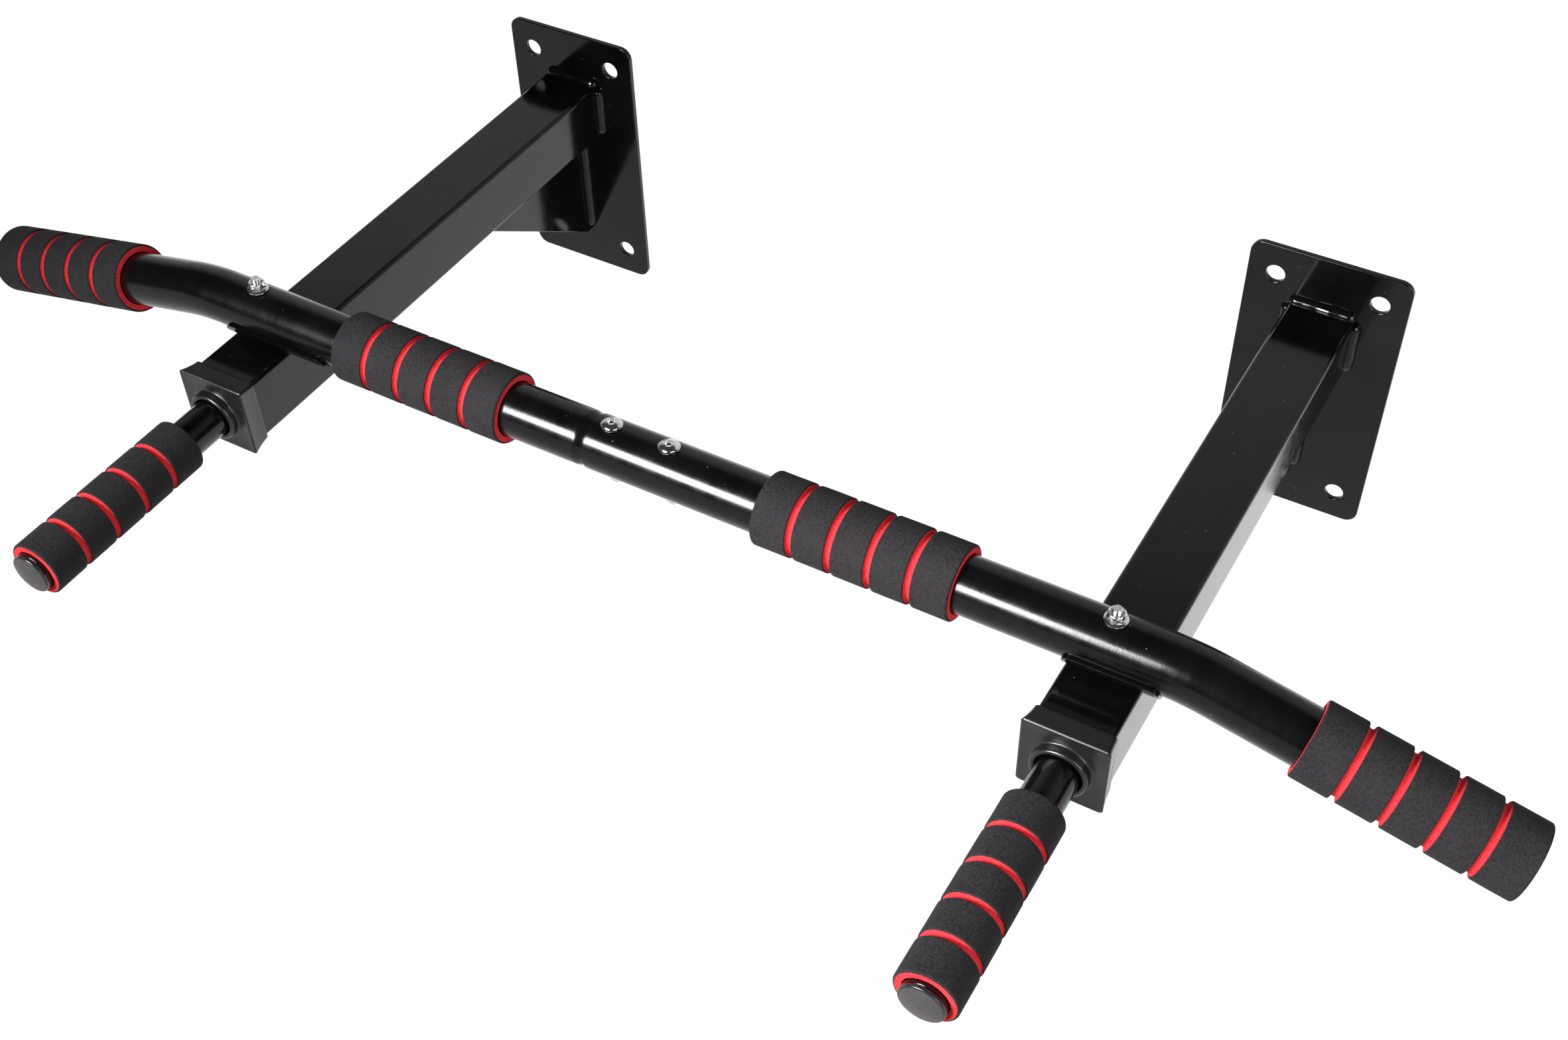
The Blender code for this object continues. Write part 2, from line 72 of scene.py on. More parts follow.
def arc_points(centre, radius, start, end, steps):
    """Points along an arc, as 2-D vectors. Angles are in degrees."""
    points = []
    for step in range(steps + 1):
        turn = math.radians(start + (end - start) * step / steps)
        points.append(centre + radius * Vector((math.cos(turn), math.sin(turn))))
    return points


def rounded_outline(width, height, corner, steps=8):
    """A rectangle with rounded corners about (0, 0), running anticlockwise."""
    a = width / 2 - corner
    b = height / 2 - corner
    outline = []
    for quarter, centre in enumerate(((a, b), (-a, b), (-a, -b), (a, -b))):
        start = 90 * quarter
        outline += arc_points(Vector(centre), corner, start, start + 90, steps)
    return outline


def drawn_in(outline, depth):
    """The same outline, moved inwards by this depth, or outwards where it is negative."""
    moved = []
    for i, here in enumerate(outline):
        before = (here - outline[i - 1]).normalized()
        after = (outline[(i + 1) % len(outline)] - here).normalized()
        along = (before + after).normalized()
        inward = Vector((-along.y, along.x))
        square_on = inward.dot(Vector((-before.y, before.x)))
        moved.append(here + inward * depth / max(square_on, 0.3))
    return moved


def band_faces(mesh, loops, joined=False, slots=None):
    """Faces between each loop of vertices and the next, and round to the first if joined."""
    pairs = list(zip(loops, loops[1:]))
    if joined:
        pairs.append((loops[-1], loops[0]))
    for number, (first, second) in enumerate(pairs):
        for i in range(len(first)):
            face = mesh.faces.new((first[i - 1], first[i], second[i], second[i - 1]))
            face.material_index = slots[number] if slots else 0


def sheet_mesh(outline, holes, thickness, edge, to_world):
    """A flat sheet with softened edges. to_world places a point of the outline at a depth."""
    mesh = bmesh.new()
    steps = 4
    levels = []
    for step in range(steps + 1):
        turn = math.pi / 2 * step / steps
        levels.append((edge * (1 - math.sin(turn)), edge * (1 - math.cos(turn))))
    levels += [(pulled, thickness - depth) for pulled, depth in reversed(levels)]
    faces = ([], [])
    for path, sign in [(outline, 1)] + [(hole, -1) for hole in holes]:
        loops = []
        for pulled, depth in levels:
            points = drawn_in(path, sign * pulled)
            loops.append([mesh.verts.new(to_world(point, depth)) for point in points])
        band_faces(mesh, loops)
        faces[0].append(loops[0])
        faces[1].append(loops[-1])
    for loops in faces:
        rim = [mesh.edges.get((loop[i - 1], loop[i])) for loop in loops for i in range(len(loop))]
        bmesh.ops.triangle_fill(mesh, edges=rim, use_beauty=True)
    return mesh


def add_piece(name, mesh, finishes, nodes, bevel=0.0, sharp=38):
    """Makes the object from its mesh. It rides on the frame and stands for its CAD nodes."""
    bmesh.ops.recalc_face_normals(mesh, faces=mesh.faces)
    data = bpy.data.meshes.new(name)
    mesh.to_mesh(data)
    mesh.free()
    for finish in finishes:
        data.materials.append(finish)
    data.shade_smooth()
    data.set_sharp_from_angle(angle=math.radians(sharp))
    piece = bpy.data.objects.new(name, data)
    bpy.context.scene.collection.objects.link(piece)
    if bevel:
        soft = piece.modifiers.new("softened_edges", "BEVEL")
        soft.width = bevel
        soft.segments = 3
        soft.limit_method = "ANGLE"
        soft.angle_limit = math.radians(sharp)
        soft.harden_normals = False
    flat = piece.modifiers.new("flat_faces", "WEIGHTED_NORMAL")
    flat.weight = 90
    flat.keep_sharp = not bevel
    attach(piece, "root")
    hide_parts(*nodes)
    return piece


def feed(tree, socket, value):
    """Links another node's output to a socket, or sets the socket's own value."""
    if isinstance(value, bpy.types.NodeSocket):
        tree.links.new(value, socket)
    else:
        socket.default_value = value


def put(tree, kind, **inputs):
    """Adds a node. Each input is a value, or the output of another node to link to it."""
    made = tree.nodes.new(kind)
    for name, value in inputs.items():
        feed(tree, made.inputs[name.replace("_", " ")], value)
    return made


def maths(tree, operation, *values):
    """A Math node, and its result."""
    made = tree.nodes.new("ShaderNodeMath")
    made.operation = operation
    for socket, value in zip(made.inputs, values):
        feed(tree, socket, value)
    return made.outputs[0]


def ranged(tree, value, low, high, to_low, to_high):
    """The value, moved from one range to another and held inside it."""
    made = put(tree, "ShaderNodeMapRange", Value=value, From_Min=low, From_Max=high,
               To_Min=to_low, To_Max=to_high)
    return made.outputs["Result"]


def blended(tree, share, first, second):
    """A colour between two others."""
    made = tree.nodes.new("ShaderNodeMix")
    made.data_type = "RGBA"
    sockets = (made.inputs["Factor"], made.inputs[6], made.inputs[7])
    for socket, value in zip(sockets, (share, first, second)):
        feed(tree, socket, value)
    return made.outputs[2]


def new_group(name, inputs, outputs):
    """A shader node group with number and vector sockets, and its input and output nodes."""
    group = bpy.data.node_groups.new(name, "ShaderNodeTree")
    for label, kind, value in inputs:
        socket = group.interface.new_socket(label, in_out="INPUT", socket_type=kind)
        if value is not None:
            socket.default_value = value
    for label in outputs:
        group.interface.new_socket(label, in_out="OUTPUT", socket_type="NodeSocketFloat")
    return group, group.nodes.new("NodeGroupInput"), group.nodes.new("NodeGroupOutput")


def use_group(tree, group, **inputs):
    """Places a group in a material, with this material's own values."""
    made = tree.nodes.new("ShaderNodeGroup")
    made.node_tree = group
    for name, value in inputs.items():
        feed(tree, made.inputs[name.replace("_", " ")], value)
    return made.outputs


def new_finish(name):
    """A material, its node tree, its shader, and a point's place in its piece's own frame."""
    finish = bpy.data.materials.new(name)
    finish.use_nodes = True
    tree = finish.node_tree
    place = put(tree, "ShaderNodeTexCoord").outputs["Object"]
    return finish, tree, tree.nodes["Principled BSDF"], place


def add_bump(tree, shader, height, depth):
    """Raises the surface by this height, which runs from 0 to 1, times this depth."""
    bump = put(tree, "ShaderNodeBump", Height=height, Distance=depth, Strength=1.0)
    tree.links.new(bump.outputs[0], shader.inputs["Normal"])


def make_coat_ripple():
    """The slight ripple of baked powder, with broad changes of tone and gloss."""
    group, given, result = new_group(
        "coat_ripple",
        [("Vector", "NodeSocketVector", None), ("Ripple Size", "NodeSocketFloat", 0.0015)],
        ("Height", "Tone", "Gloss"))
    vector = given.outputs["Vector"]
    per_metre = maths(group, "DIVIDE", 1.0, given.outputs["Ripple Size"])
    ripple = put(group, "ShaderNodeTexNoise", Vector=vector, Scale=per_metre, Detail=2.0)
    broad = put(group, "ShaderNodeTexNoise", Vector=vector, Scale=26.0, Detail=3.0)
    cloudy = put(group, "ShaderNodeTexNoise", Vector=vector, Scale=150.0, Detail=4.0)
    group.links.new(ripple.outputs["Fac"], result.inputs["Height"])
    group.links.new(ranged(group, broad.outputs["Fac"], 0.35, 0.65, 0, 1), result.inputs["Tone"])
    group.links.new(ranged(group, cloudy.outputs["Fac"], 0.3, 0.7, 0, 1), result.inputs["Gloss"])
    return group


def make_dust_specks():
    """Single specks of dust, scattered thinly."""
    group, given, result = new_group(
        "dust_specks",
        [("Vector", "NodeSocketVector", None), ("Spacing", "NodeSocketFloat", 0.007),
         ("Speck Size", "NodeSocketFloat", 0.0003), ("Share", "NodeSocketFloat", 0.5)],
        ("Mask",))
    per_metre = maths(group, "DIVIDE", 1.0, given.outputs["Spacing"])
    cells = put(group, "ShaderNodeTexVoronoi", Vector=given.outputs["Vector"], Scale=per_metre)
    size = maths(group, "MULTIPLY", given.outputs["Speck Size"], per_metre)
    near = maths(group, "LESS_THAN", cells.outputs["Distance"], size)
    draw = put(group, "ShaderNodeSeparateColor", Color=cells.outputs["Color"])
    chosen = maths(group, "LESS_THAN", draw.outputs[0], given.outputs["Share"])
    group.links.new(maths(group, "MULTIPLY", near, chosen), result.inputs["Mask"])
    return group


coat_ripple = make_coat_ripple()
dust_specks = make_dust_specks()


def powder_coat(name, stretch, ripple_size, ripple_depth, roughness):
    """Gloss black powder coat. The stretch runs its ripple longer one way than another."""
    finish, tree, shader, place = new_finish(name)
    drawn_out = put(tree, "ShaderNodeMapping", Vector=place, Scale=stretch).outputs[0]
    coat = use_group(tree, coat_ripple, Vector=drawn_out, Ripple_Size=ripple_size)
    dust = use_group(tree, dust_specks, Vector=place)["Mask"]
    black = blended(tree, coat["Tone"], (0.0012, 0.0011, 0.0013, 1), (0.0024, 0.0022, 0.0025, 1))
    colour = blended(tree, dust, black, (0.16, 0.155, 0.15, 1))
    gloss = ranged(tree, coat["Gloss"], 0, 1, roughness * 0.85, roughness * 1.2)
    rough = maths(tree, "MAXIMUM", gloss, maths(tree, "MULTIPLY", dust, 0.7))
    tree.links.new(colour, shader.inputs["Base Color"])
    tree.links.new(rough, shader.inputs["Roughness"])
    add_bump(tree, shader, coat["Height"], ripple_depth)
    shader.inputs["IOR"].default_value = COAT_IOR
    return finish


flat_coat = powder_coat("black_coat_on_plate", (1, 1, 1), 0.0030, 0.000010, 0.12)


def make_wall_plate(side):
    low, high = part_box(side + "_wall_plate")
    middle = (low + high) / 2
    width = high.x - low.x
    height = high.z - low.z
    outline = rounded_outline(width, height, PLATE_CORNER)
    holes = []
    for x in (SCREW_HOLE_IN_X - width / 2, width / 2 - SCREW_HOLE_IN_X):
        for z in (SCREW_HOLE_IN_Z - height / 2, height / 2 - SCREW_HOLE_IN_Z):
            holes.append(arc_points(Vector((x, z)), SCREW_HOLE_RADIUS, 0, 352.5, 47))
    mesh = sheet_mesh(
        outline, holes, high.y - low.y, PLATE_EDGE,
        lambda point, depth: Vector((middle.x + point.x, low.y + depth, middle.z + point.y)))
    node = side + "_wall_plate"
    add_piece(side + "_plate", mesh, [flat_coat], [node])


for side in BRACKETS:
    make_wall_plate(side)

# ---- arms ----
# Each arm is a length of square steel tube, butted against its plate and welded there. Its long
# corners keep the small radius that the tube was rolled with.

ARM_CORNER = 0.003
ARM_WALL = 0.002


def square_ring(half, corner, steps=7):
    """The outline of a square tube, with points along its sides as well as round its corners."""
    flat = half - corner
    ring = []
    for quarter in range(4):
        turn = Euler((0, 0, math.pi / 2 * quarter)).to_matrix().to_2x2()
        side = [Vector((half, flat * (2 * step / steps - 1))) for step in range(1, steps)]
        bend = arc_points(Vector((flat, flat)), corner, 0, 90, steps)
        ring += [turn @ point for point in side + bend]
    return ring


def make_arm(side):
    low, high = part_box(side + "_arm")
    plate_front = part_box(side + "_wall_plate")[0].y
    middle = (low + high) / 2
    half = (high.x - low.x) / 2
    outside = square_ring(half, ARM_CORNER)
    inside = square_ring(half - ARM_WALL, ARM_CORNER - ARM_WALL)
    mesh = bmesh.new()
    loops = []
    lengths = [plate_front, plate_front - 0.02, low.y + 0.06, low.y]
    for ring, stations in ((outside, lengths), (inside, lengths[::-1])):
        for y in stations:
            loops.append([mesh.verts.new((middle.x + p.x, y, middle.z + p.y)) for p in ring])
    band_faces(mesh, loops, joined=True)
    add_piece(side + "_arm_tube", mesh, [flat_coat], [side + "_arm"])


for side in BRACKETS:
    make_arm(side)

# ---- gussets ----
# A triangle of steel plate stands on edge under each arm and stiffens it against the wall plate.
# Its inner corner is clipped to clear the weld, and its thin tips are cut square.

GUSSET_EDGE = 0.0006
GUSSET_NOSE = 0.006
GUSSET_CLIP = 0.008


def make_gusset(side):
    low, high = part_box(side + "_gusset")
    outline = [
        Vector((high.y, low.z)),
        Vector((high.y, high.z - GUSSET_CLIP)),
        Vector((high.y - GUSSET_CLIP, high.z)),
        Vector((low.y, high.z)),
        Vector((low.y, high.z - GUSSET_NOSE)),
        Vector((high.y - GUSSET_NOSE, low.z)),
    ]
    mesh = sheet_mesh(
        outline, [], high.x - low.x, GUSSET_EDGE,
        lambda point, depth: Vector((low.x + depth, point.x, point.y)))
    add_piece(side + "_gusset_plate", mesh, [flat_coat], [side + "_gusset"])


for side in BRACKETS:
    make_gusset(side)

# ---- weld beads ----
# Fillet welds join the arm and the gusset to the plate. Each bead is a smooth full roll with
# faint streaks along it, drawn in to a blunt point at its two ends.

BEAD_SPACING = 0.0004
BEAD_WANDER = 0.07
BEAD_STREAK = 0.035
BEAD_TIP_SHARE = 0.22
BEAD_STEPS = 14

bead_coat = powder_coat("black_coat_on_weld", (1, 1, 1), 0.0012, 0.000016, 0.10)


def bead_mesh(corner, along, off_plate, off_arm, length, leg):
    """A bead of this length in the corner between the plate and the piece welded to it."""
    mesh = bmesh.new()
    loops = []
    count = int(length / BEAD_SPACING)
    seed = Vector(corner) * 37
    for i in range(count + 1):
        share = i / count
        end = min(share, 1 - share) * length
        full = math.sqrt(max(0.0, 1 - (1 - min(1, end / leg)) ** 2))
        wander = noise.noise(seed + Vector((share * length * 110, 0, 0)))
        points = [corner + along * (share - 0.5) * length]
        for step in range(BEAD_STEPS + 1):
            turn = math.pi / 2 * step / BEAD_STEPS
            streak = noise.noise(seed + Vector((share * length * 70, turn * 6, 4)))
            swell = 1 + BEAD_WANDER * wander + BEAD_STREAK * streak * math.sin(2 * turn)
            size = leg * swell * (BEAD_TIP_SHARE + (1 - BEAD_TIP_SHARE) * full)
            outward = off_plate * math.cos(turn) + off_arm * math.sin(turn)
            points.append(points[0] + outward * size)
        loops.append([mesh.verts.new(point) for point in points])
    band_faces(mesh, loops)
    mesh.faces.new(loops[0])
    mesh.faces.new(loops[-1])
    return mesh


def make_beads(side):
    arm_low, arm_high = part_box(side + "_arm")
    gusset_low, gusset_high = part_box(side + "_gusset")
    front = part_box(side + "_wall_plate")[0].y
    off_plate = Vector((0, -1, 0))
    sites = [("top_weld", (arm_low.x + arm_high.x) / 2, arm_high.z, Vector((0, 0, 1)))]
    sites.append(("arm_left_hand_weld", arm_low.x, None, Vector((-1, 0, 0))))
    sites.append(("arm_right_hand_weld", arm_high.x, None, Vector((1, 0, 0))))
    sites.append(("gusset_left_hand_weld", gusset_low.x, None, Vector((-1, 0, 0))))
    sites.append(("gusset_right_hand_weld", gusset_high.x, None, Vector((1, 0, 0))))
    for node, x, z, off_arm in sites:
        low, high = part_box(f"{side}_{node}")
        along = Vector((1, 0, 0)) if z else Vector((0, 0, 1))
        size = high - low
        leg = size.y
        length = size.x if z else size.z
        corner = Vector((x, front, z if z else (low.z + high.z) / 2))
        mesh = bead_mesh(corner, along, off_plate, off_arm, length, leg)
        name = f"{side}_{node.replace('weld', 'bead')}"
        add_piece(name, mesh, [bead_coat], [f"{side}_{node}"], sharp=75)


for side in BRACKETS:
    make_beads(side)

# ---- saddles ----
# The bar lies in a trough-shaped steel shell on top of each arm, longer towards the object's
# right. Its rims stop just under the bar's middle, and its four corners are rounded off.

SADDLE_OUTER = 0.0198
SADDLE_INNER = 0.0178
SADDLE_RIM_DROP = math.radians(12)
SADDLE_CORNER = 0.0055
SADDLE_STEPS = 40


def make_saddle(side):
    low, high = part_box(side + "_saddle")
    middle_y = (low.y + high.y) / 2
    middle_z = low.z + SADDLE_OUTER
    stations = []
    for step in range(9):
        stations.append(SADDLE_CORNER * (1 - math.cos(math.pi / 2 * step / 8)))
    length = high.x - low.x
    stations += [length - x for x in reversed(stations)]
    mesh = bmesh.new()
    loops = []
    for x in stations:
        near_end = max(0.0, SADDLE_CORNER - min(x, length - x))
        drop = SADDLE_CORNER - math.sqrt(max(0.0, SADDLE_CORNER ** 2 - near_end ** 2))
        lip = SADDLE_RIM_DROP + drop / SADDLE_OUTER
        loop = []
        for radius, order in ((SADDLE_OUTER, 1), (SADDLE_INNER, -1)):
            for step in range(SADDLE_STEPS + 1)[::order]:
                turn = math.pi + lip + (math.pi - 2 * lip) * step / SADDLE_STEPS
                y = middle_y + radius * math.cos(turn)
                z = middle_z + radius * math.sin(turn)
                loop.append(mesh.verts.new((low.x + x, y, z)))
        loops.append(loop)
    band_faces(mesh, loops)
    for loop in (loops[0], loops[-1]):
        count = len(loop)
        for i in range(SADDLE_STEPS):
            mesh.faces.new((loop[i], loop[i + 1], loop[count - 2 - i], loop[count - 1 - i]))
    node = side + "_saddle"
    add_piece(node + "_shell", mesh, [flat_coat], [node], bevel=0.0004)


for side in BRACKETS:
    make_saddle(side)

# ---- the bar ----
# The bar is two steel tubes, each bent down near its outer end. The left one is squeezed to a
# smaller neck at its inner end, and slides into the right one, whose end stays full size.

BAR_RADIUS = 0.0175
BAR_WALL = 0.002
BEND_START = 0.326
BEND_RADIUS = 0.140
BEND_ANGLE = math.radians(12.5)
BAR_HALF_LENGTH = 0.529
SOCKET_OVERLAP = 0.036
NECK_LENGTH = 0.008
SPIGOT_RADIUS = 0.0152
SOCKET_EDGE = 0.0005
TUBE_END_EDGE = 0.0003
CLEARANCE = 0.0003
BAR_AROUND = 96

bar_low, bar_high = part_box("left_bar")
BAR_Y = (bar_low.y + bar_high.y) / 2
BAR_Z = bar_high.z - BAR_RADIUS

tube_coat = powder_coat("black_coat_on_tube", (1.0, 0.30, 0.30), 0.0008, 0.000030, 0.19)


def bar_frame(along):
    """(x, z, slope) of the bar's axis at a distance out from its middle, on the right."""
    if along <= BEND_START:
        return along, BAR_Z, 0.0
    slope = min((along - BEND_START) / BEND_RADIUS, BEND_ANGLE)
    straight = along - BEND_START - BEND_RADIUS * slope
    x = BEND_START + BEND_RADIUS * math.sin(slope) + straight * math.cos(slope)
    z = BAR_Z - BEND_RADIUS * (1 - math.cos(slope)) - straight * math.sin(slope)
    return x, z, slope


def bar_loop(mesh, hand, along, radius):
    """One ring of vertices round the bar. The hand is -1 on the left and 1 on the right."""
    x, z, slope = bar_frame(along)
    loop = []
    for i in range(BAR_AROUND):
        turn = 2 * math.pi * i / BAR_AROUND
        forward = radius * math.cos(turn)
        up = radius * math.sin(turn)
        point = (hand * (x + up * math.sin(slope)), BAR_Y + forward, z + up * math.cos(slope))
        loop.append(mesh.verts.new(point))
    return loop


def make_bar_half(side, hand, inner_end):
    """Skins the tube over its stations, down its outside and back up its bore."""
    stations = list(inner_end)
    bend_length = BEND_RADIUS * BEND_ANGLE
    stations += [(0.10 + 0.02 * step, BAR_RADIUS) for step in range(12)]
    stations += [(BEND_START + bend_length * step / 16, BAR_RADIUS) for step in range(17)]
    stations += [(BAR_HALF_LENGTH - TUBE_END_EDGE, BAR_RADIUS),
                 (BAR_HALF_LENGTH, BAR_RADIUS - TUBE_END_EDGE)]
    mesh = bmesh.new()
    loops = [bar_loop(mesh, hand, along, radius) for along, radius in stations]
    bore = [(along, radius - BAR_WALL) for along, radius in reversed(stations[2:-1])]
    bore.insert(0, (BAR_HALF_LENGTH, BAR_RADIUS - BAR_WALL))
    bore.append((stations[0][0], stations[2][1] - BAR_WALL))
    loops += [bar_loop(mesh, hand, along, radius) for along, radius in bore]
    band_faces(mesh, loops, joined=True)
    add_piece(side + "_bar_tube", mesh, [tube_coat], [side + "_bar"])


socket_end = [(-SOCKET_OVERLAP, BAR_RADIUS - SOCKET_EDGE)]
for step in range(1, 4):
    turn = math.pi / 2 * step / 3
    out = SOCKET_EDGE * (1 - math.cos(turn))
    radius = BAR_RADIUS - SOCKET_EDGE + SOCKET_EDGE * math.sin(turn)
    socket_end.append((out - SOCKET_OVERLAP, radius))
socket_end += [(-0.02, BAR_RADIUS), (0.0, BAR_RADIUS), (0.05, BAR_RADIUS)]

neck_end = [(CLEARANCE - SOCKET_OVERLAP, SPIGOT_RADIUS - SOCKET_EDGE),
            (CLEARANCE + SOCKET_EDGE - SOCKET_OVERLAP, SPIGOT_RADIUS), (0.0, SPIGOT_RADIUS)]
for step in range(13):
    share = step / 12
    swell = 0.5 - 0.5 * math.cos(math.pi * share)
    radius = SPIGOT_RADIUS + (BAR_RADIUS - SPIGOT_RADIUS) * swell
    neck_end.append((SOCKET_OVERLAP - CLEARANCE + NECK_LENGTH * share, radius))
neck_end.append((0.07, BAR_RADIUS))

make_bar_half("right", 1, socket_end)
make_bar_half("left", -1, neck_end)

# ---- bolts and nuts ----
# One long bolt goes up through each arm, handle, saddle and bar, with its hex head under the arm
# and a flanged lock nut on top. Two shorter button-head bolts pin the joint of the bar, with the
# same nuts below. All of them are zinc plated.

THREAD_RADIUS = 0.0030
THREAD_DEPTH = 0.00045
THREAD_PITCH = 0.0010
THREADED_LENGTH = 0.024
PLAIN_SHANK = 0.010
TIP_FADE = 0.0007
TIP_CHAMFER = 0.0005
HEX_HALF = 0.0050
NUT_HEIGHT = 0.0060
NUT_FLANGE_RADIUS = 0.0069
NUT_COLLAR_RADIUS = 0.0051
BOLT_AROUND = 48
TUMBLING_DEPTH = 0.000006


def make_plating_haze():
    """The faint cloudiness of plated zinc, with fine marks left by tumbling."""
    group, given, result = new_group(
        "plating_haze", [("Vector", "NodeSocketVector", None)], ("Haze", "Marks"))
    vector = given.outputs["Vector"]
    haze = put(group, "ShaderNodeTexNoise", Vector=vector, Scale=420.0, Detail=3.0)
    marks = put(group, "ShaderNodeTexNoise", Vector=vector, Scale=2600.0, Detail=2.0)
    group.links.new(ranged(group, haze.outputs["Fac"], 0.35, 0.65, 0, 1), result.inputs["Haze"])
    group.links.new(marks.outputs["Fac"], result.inputs["Marks"])
    return group


plating_haze = make_plating_haze()


def plated(name, bright, dull, roughness):
    """A bare or plated metal."""
    finish, tree, shader, place = new_finish(name)
    plating = use_group(tree, plating_haze, Vector=place)
    tree.links.new(blended(tree, plating["Haze"], bright, dull), shader.inputs["Base Color"])
    rough = ranged(tree, plating["Haze"], 0, 1, roughness * 0.7, roughness * 1.4)
    tree.links.new(rough, shader.inputs["Roughness"])
    add_bump(tree, shader, plating["Marks"], TUMBLING_DEPTH)
    shader.inputs["Metallic"].default_value = 1.0
    return finish


zinc = plated("bright_zinc_plate", (0.93, 0.94, 0.95, 1), (0.76, 0.79, 0.82, 1), 0.13)


def hex_reach(turn):
    """The distance from a hexagon's centre to its side, for half its width across flats."""
    off_flat = (turn + math.pi / 6) % (math.pi / 3) - math.pi / 6
    return HEX_HALF / math.cos(off_flat)


def shaped_loop(mesh, base, up, height, reach):
    """A ring of vertices round a bolt's axis. The reach gives the radius at each angle."""
    loop = []
    for i in range(BOLT_AROUND):
        turn = 2 * math.pi * i / BOLT_AROUND
        radius = reach(turn) if callable(reach) else reach
        loop.append(mesh.verts.new(base + Vector((
            radius * math.cos(turn), up * radius * math.sin(turn), up * height))))
    return loop


def threads(mesh, base, up, start, end):
    """Loops of a screw thread, which fades out at a chamfered tip."""
    loops = []
    count = int((end - start) / THREAD_PITCH * 8)
    for i in range(count + 1):
        height = start + (end - start) * i / count
        tip = min(1.0, (end - height) / TIP_FADE)
        crest = THREAD_RADIUS - TIP_CHAMFER * (1 - tip)

        def reach(turn, height=height, crest=crest, tip=tip):
            wave = (height / THREAD_PITCH - turn / (2 * math.pi)) % 1.0
            return crest - THREAD_DEPTH * tip * (1 - abs(2 * wave - 1)) ** 0.8

        loops.append(shaped_loop(mesh, base, up, height, reach))
    return loops


def make_nut(name, base, up, node):
    """A flanged lock nut: a washer face, a hexagon with chamfered corners, and a round collar."""
    mesh = bmesh.new()
    bore = THREAD_RADIUS + CLEARANCE
    loops = [shaped_loop(mesh, base, up, 0.0, bore)]
    for height, radius in ((0.0, 0.0066), (0.0002, NUT_FLANGE_RADIUS), (0.0006, 0.00685),
                           (0.0012, 0.0060)):
        loops.append(shaped_loop(mesh, base, up, height, radius))
    for height, limit in ((0.0014, 0.0058), (0.0019, 0.0060), (0.0030, 0.0060), (0.0034, 0.00575),
                          (0.0037, 0.00545), (0.0039, 0.0051)):
        loops.append(shaped_loop(
            mesh, base, up, height, lambda turn, limit=limit: min(limit, hex_reach(turn))))
    collar = NUT_COLLAR_RADIUS
    for height, radius in ((0.0040, collar), (0.0053, collar), (0.0057, collar - 0.0002),
                           (NUT_HEIGHT, collar - 0.0006), (NUT_HEIGHT, collar - 0.0010),
                           (0.0057, collar - 0.0012), (0.0046, collar - 0.0013),
                           (0.0046, bore)):
        loops.append(shaped_loop(mesh, base, up, height, radius))
    band_faces(mesh, loops, joined=True)
    add_piece(name, mesh, [zinc], [node], sharp=34)


def make_crossing_bolt(side):
    node = side + "_crossing_bolt"
    low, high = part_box(node)
    x = (low.x + high.x) / 2
    base = Vector((x, BAR_Y, low.z))
    mesh = bmesh.new()
    loops = []
    for height, limit in ((0.0, 0.0047), (0.0003, 0.0053), (0.0008, 0.0060), (0.0038, 0.0060)):
        loops.append(shaped_loop(
            mesh, base, 1, height, lambda turn, limit=limit: min(limit, hex_reach(turn))))
    loops.append(shaped_loop(mesh, base, 1, 0.0040, 0.0046))
    loops.append(shaped_loop(mesh, base, 1, 0.0040, THREAD_RADIUS))
    length = high.z - low.z
    loops += threads(mesh, base, 1, length - THREADED_LENGTH, length)
    band_faces(mesh, loops)
    mesh.faces.new(loops[0])
    mesh.faces.new(loops[-1])
    add_piece(side + "_long_bolt", mesh, [zinc], [node], sharp=34)


def make_joint_bolt(side):
    """The head is a low dome on a thin flange, with a hexagon socket in its crown."""
    node = side + "_joint_bolt"
    low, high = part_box(node)
    seat = BAR_Z + BAR_RADIUS + CLEARANCE
    base = Vector(((low.x + high.x) / 2, BAR_Y, seat))
    mesh = bmesh.new()
    dome = [(0.0, 0.0066), (0.0002, 0.0068), (0.0006, 0.0068), (0.0009, 0.0064), (0.0010, 0.0058)]
    for step in range(8):
        turn = math.radians(14 + 50 * step / 7)
        dome.append((0.0010 + 0.0026 * (math.sin(turn) - 0.24), 0.0060 * math.cos(turn)))
    crown = high.z - seat
    dome += [(crown, 0.0025)]
    socket = 0.0020

    def socket_reach(turn):
        return socket / HEX_HALF * hex_reach(turn)

    loops = threads(mesh, base, -1, PLAIN_SHANK, seat - low.z)[::-1]
    loops.append(shaped_loop(mesh, base, -1, 0.0, THREAD_RADIUS))
    loops += [shaped_loop(mesh, base, -1, -height, radius) for height, radius in dome]
    loops.append(shaped_loop(mesh, base, -1, -crown, socket_reach))
    loops.append(shaped_loop(mesh, base, -1, 0.0018 - crown, socket_reach))
    loops.append(shaped_loop(mesh, base, -1, 0.0022 - crown, 0.0004))
    band_faces(mesh, loops)
    mesh.faces.new(loops[0])
    mesh.faces.new(loops[-1])
    add_piece(side + "_button_bolt", mesh, [zinc], [node], sharp=34)


for side in BRACKETS:
    make_crossing_bolt(side)
    make_joint_bolt(side)
    for place, up in (("crossing", 1), ("joint", -1)):
        node = f"{side}_{place}_nut"
        low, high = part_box(node)
        base = Vector(((low.x + high.x) / 2, BAR_Y, low.z if up > 0 else high.z))
        make_nut(f"{side}_{place}_lock_nut", base, up, node)

# ---- handle tubes and their bushes ----
# A round steel tube stands out of each arm's front end, on the arm's own axis. Inside the arm a
# square plate keeps it central, and the crossing bolt goes through it.

HANDLE_WALL = 0.002
HANDLE_AROUND = 80

